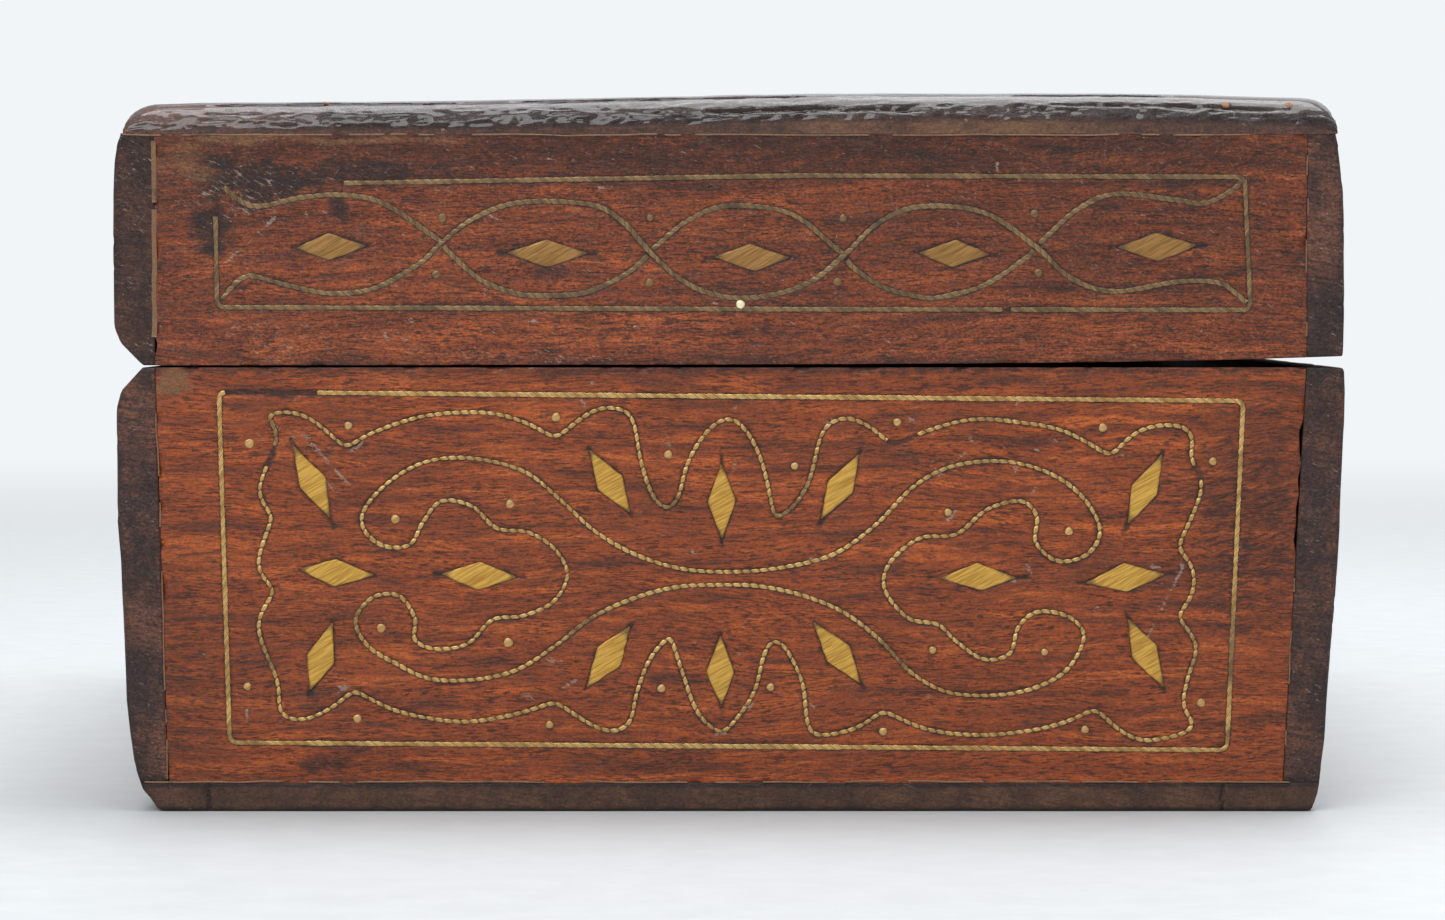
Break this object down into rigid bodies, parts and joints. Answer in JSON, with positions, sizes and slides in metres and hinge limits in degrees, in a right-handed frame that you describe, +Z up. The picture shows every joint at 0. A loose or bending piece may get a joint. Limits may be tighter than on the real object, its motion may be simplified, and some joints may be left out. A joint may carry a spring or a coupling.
{
  "type": "inlaid wooden box",
  "caption": "Rectangular hinged wooden box with a lift-up lid, inlaid with twisted brass wire scrolls, lozenge plates and borders.",
  "frame": {"origin": "under the middle of the box, on the surface it stands on", "axes": "+Z up, +Y along the box's length from the near inlaid end to the far end, +X from the hinged back to the opening front"},
  "size_m": [0.178, 0.254, 0.1045],
  "materials": {
    "panel_wood": "oiled rosewood, satin, worn",
    "board_wood": "dark oiled rosewood, grimed end grain",
    "top_wood": "dark oiled rosewood, polished by handling",
    "peg_wood": "pale, dull",
    "inlay_brass": "filed flush, dull, scratched",
    "hinge_brass": "tarnished",
    "screw_steel": "dulled"
  },
  "bodies": {
    "base": {"base_back_board": "board_wood", "base_border_wire": "inlay_brass", "base_far_end_panel": "panel_wood", "base_frame_wire": "inlay_brass", "base_front_board": "board_wood", "base_near_end_panel": "panel_wood", "base_plate_01": "inlay_brass", "base_plate_02": "inlay_brass", "base_plate_03": "inlay_brass", "base_plate_04": "inlay_brass", "base_plate_05": "inlay_brass", "base_plate_06": "inlay_brass", "base_plate_07": "inlay_brass", "base_plate_08": "inlay_brass", "base_plate_09": "inlay_brass", "base_plate_10": "inlay_brass", "base_plate_11": "inlay_brass", "base_plate_12": "inlay_brass", "base_plate_13": "inlay_brass", "base_plate_14": "inlay_brass", "base_scroll_wire": "inlay_brass", "bottom_board": "board_wood", "hinge_far_lower_leaf": "hinge_brass", "hinge_far_lower_screw_1": "screw_steel", "hinge_far_lower_screw_2": "screw_steel", "hinge_far_pin": "hinge_brass", "hinge_near_lower_leaf": "hinge_brass", "hinge_near_lower_screw_1": "screw_steel", "hinge_near_lower_screw_2": "screw_steel", "hinge_near_pin": "hinge_brass"},
    "lid": {"hinge_far_upper_leaf": "hinge_brass", "hinge_far_upper_screw_1": "screw_steel", "hinge_far_upper_screw_2": "screw_steel", "hinge_near_upper_leaf": "hinge_brass", "hinge_near_upper_screw_1": "screw_steel", "hinge_near_upper_screw_2": "screw_steel", "lid_back_board": "board_wood", "lid_border_wire": "inlay_brass", "lid_cross_wire_1": "inlay_brass", "lid_cross_wire_2": "inlay_brass", "lid_cross_wire_3": "inlay_brass", "lid_cross_wire_4": "inlay_brass", "lid_cross_wire_5": "inlay_brass", "lid_far_end_panel": "panel_wood", "lid_front_board": "board_wood", "lid_near_end_panel": "panel_wood", "lid_plate_01": "inlay_brass", "lid_plate_02": "inlay_brass", "lid_plate_03": "inlay_brass", "lid_plate_04": "inlay_brass", "lid_plate_05": "inlay_brass", "lid_top_board": "top_wood", "lid_wave_wire": "inlay_brass", "top_peg_1": "peg_wood", "top_peg_2": "peg_wood", "top_peg_3": "peg_wood"}
  },
  "joints": [
    {"name": "lid_hinge", "type": "hinge", "parent": "base", "child": "lid", "pos_m": [-0.0857, 0, 0.0648], "axis": [0, -1, 0], "range_deg": [0, 90]}
  ]
}
